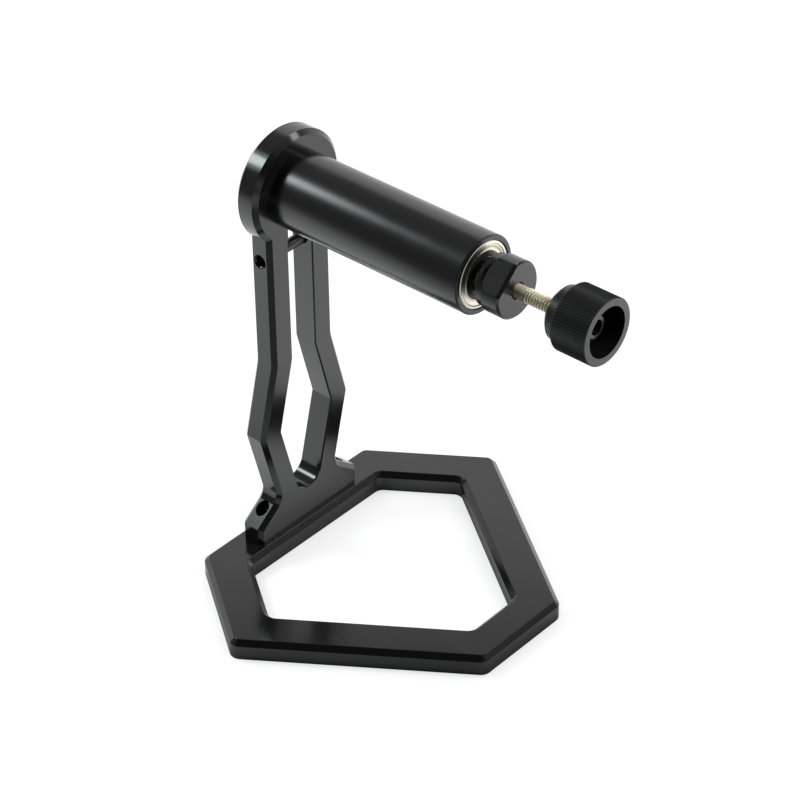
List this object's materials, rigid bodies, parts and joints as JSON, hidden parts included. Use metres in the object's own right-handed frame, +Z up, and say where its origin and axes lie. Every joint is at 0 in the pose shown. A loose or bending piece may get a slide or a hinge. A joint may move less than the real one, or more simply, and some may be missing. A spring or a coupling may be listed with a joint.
{
  "type": "wheel balancing stand",
  "caption": "Bench stand for balancing small wheels: flat hexagonal base ring, two-legged upright with a split head, clamped tube with a free-running spindle, hub, stud and knurled knob.",
  "frame": {"origin": "on the base's underside, below the middle of the upright", "axes": "+Z up, +X across to the right seen from the front, the spindle points forward along -Y"},
  "size_m": [0.1268, 0.1316, 0.1518],
  "materials": {
    "black_anodised": "black anodised, satin",
    "black_steel": "black oxide",
    "bearing_steel": "ground and pressed steel",
    "ball_steel": "polished",
    "cage_steel": "pressed steel",
    "turned_steel": "turned",
    "plain_aluminium": "turned"
  },
  "bodies": {
    "stand": {"base_frame": "black_anodised", "upright": "black_anodised", "bearing_tube": "black_anodised", "clamp_screw": "black_steel", "foot_screws": "black_steel", "front_outer_ring": "bearing_steel", "rear_outer_ring": "bearing_steel", "front_shields": "bearing_steel", "rear_shields": "bearing_steel"},
    "spindle": {"spindle_shaft": "turned_steel", "bearing_spacer": "plain_aluminium", "retaining_ring": "black_steel", "hub": "black_anodised", "stud": "turned_steel", "front_inner_ring": "bearing_steel", "rear_inner_ring": "bearing_steel"},
    "front_ball_set": {"front_cage": "cage_steel", "front_balls": "ball_steel"},
    "rear_ball_set": {"rear_cage": "cage_steel", "rear_balls": "ball_steel"},
    "knob_thread": {"knob_bush": "black_anodised"},
    "hand_knob": {"knob": "black_anodised"}
  },
  "joints": [
    {"name": "spindle_spin", "type": "hinge", "parent": "stand", "child": "spindle", "pos_m": [0, 0, 0.1327], "axis": [0, 1, 0], "continuous": true},
    {"name": "front_ball_roll", "type": "hinge", "parent": "stand", "child": "front_ball_set", "pos_m": [0, 0, 0.1327], "axis": [0, 1, 0], "continuous": true},
    {"name": "rear_ball_roll", "type": "hinge", "parent": "stand", "child": "rear_ball_set", "pos_m": [0, 0, 0.1327], "axis": [0, 1, 0], "continuous": true},
    {"name": "knob_travel", "type": "slide", "parent": "spindle", "child": "knob_thread", "axis": [0, 1, 0], "range_m": [-0.004, 0.0153]},
    {"name": "knob_turn", "type": "hinge", "parent": "knob_thread", "child": "hand_knob", "pos_m": [0, 0, 0.1327], "axis": [0, 1, 0], "range_deg": [-1358, 5196]}
  ],
  "couplings": [
    {"joint": "front_ball_roll", "follows": "spindle_spin", "ratio": 0.36887},
    {"joint": "rear_ball_roll", "follows": "spindle_spin", "ratio": 0.36887},
    {"joint": "knob_turn", "follows": "knob_travel", "rad_per_m": 5927.5}
  ]
}
